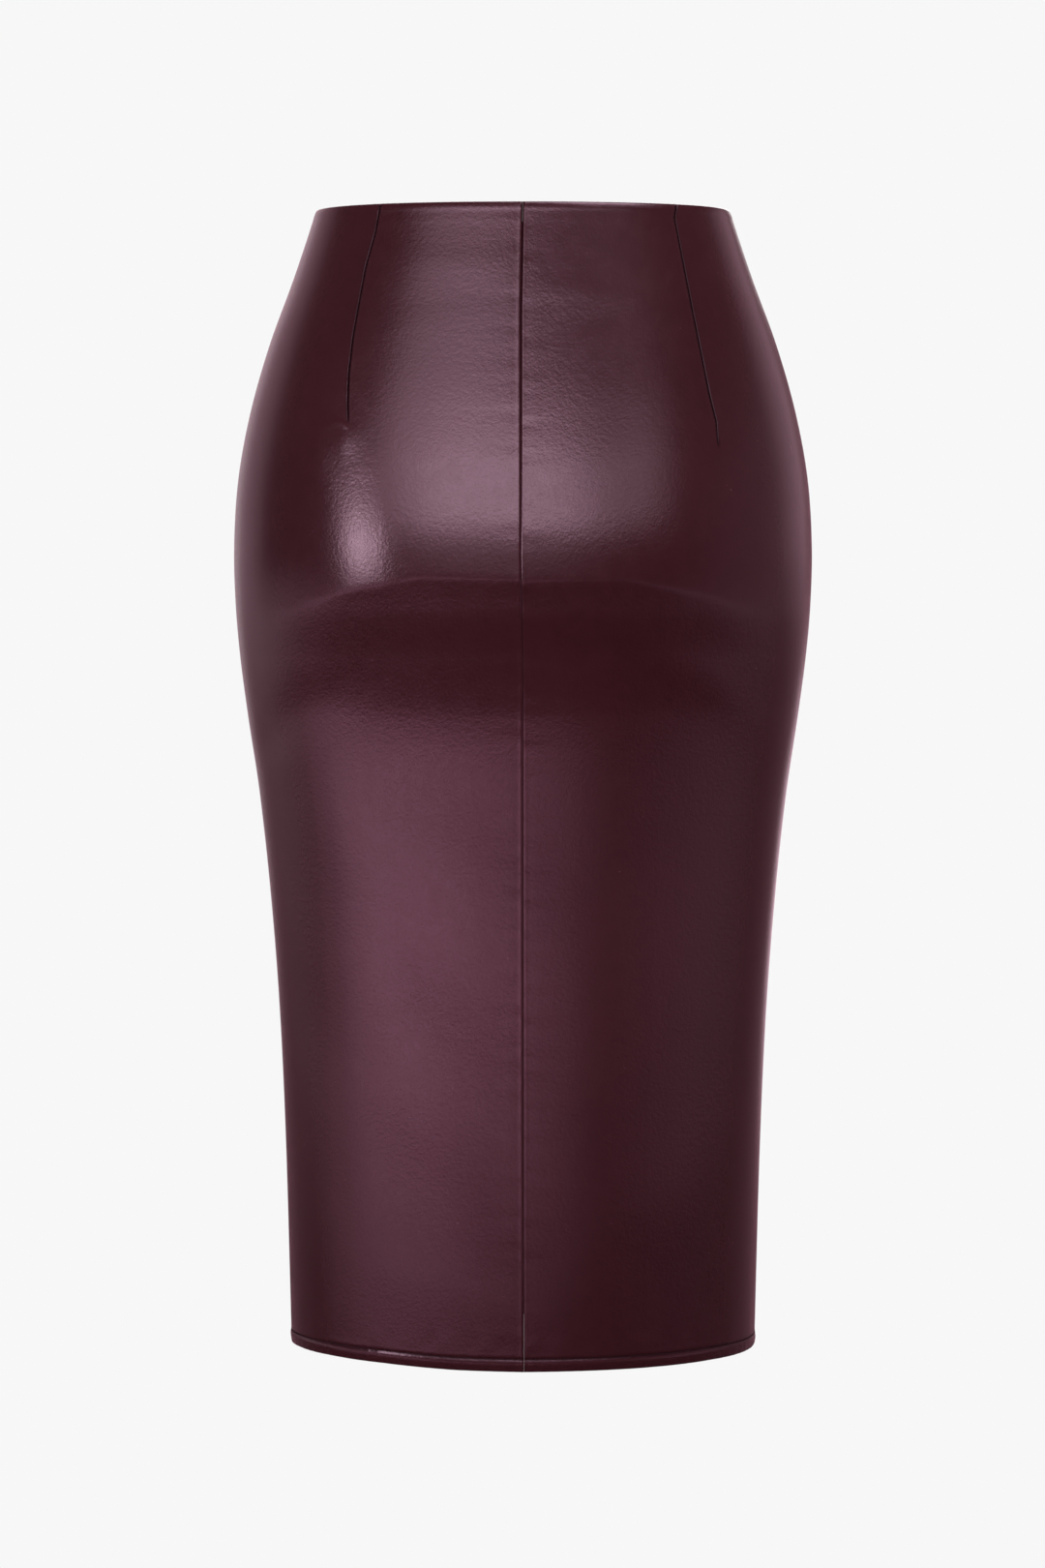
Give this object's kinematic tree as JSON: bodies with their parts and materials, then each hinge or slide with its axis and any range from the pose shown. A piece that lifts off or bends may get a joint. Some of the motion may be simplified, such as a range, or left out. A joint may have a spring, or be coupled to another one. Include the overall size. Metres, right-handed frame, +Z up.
{
  "type": "leather skirt",
  "caption": "High-waisted pencil skirt in smooth burgundy imitation leather, hollow and filled out as worn, with back seam, waist darts, side zip and stitched hem.",
  "frame": {"origin": "centre of the waist opening, level with its edge, where the wearer's waist holds the skirt", "axes": "+Z up, out of the waist opening; +Y to the wearer's back; +X to the wearer's left"},
  "size_m": [0.3462, 0.2325, 0.681],
  "materials": {
    "leather": "smooth imitation leather with a fine grain and a soft gloss",
    "zip_tape": "matt woven tape",
    "zip_metal": "satin lacquer in the cloth's colour"
  },
  "bodies": {
    "skirt": {"back_left": "leather", "back_right": "leather", "front": "leather", "zip_tape": "zip_tape", "zip_slider": "zip_metal"},
    "pull": {"zip_pull": "zip_metal"}
  },
  "joints": [
    {"name": "zip_pull_swing", "type": "hinge", "parent": "skirt", "child": "pull", "pos_m": [0.12404, -0.02444, -0.00641], "axis": [-0.3135, -0.9496, 0], "range_deg": [0, 165]}
  ]
}
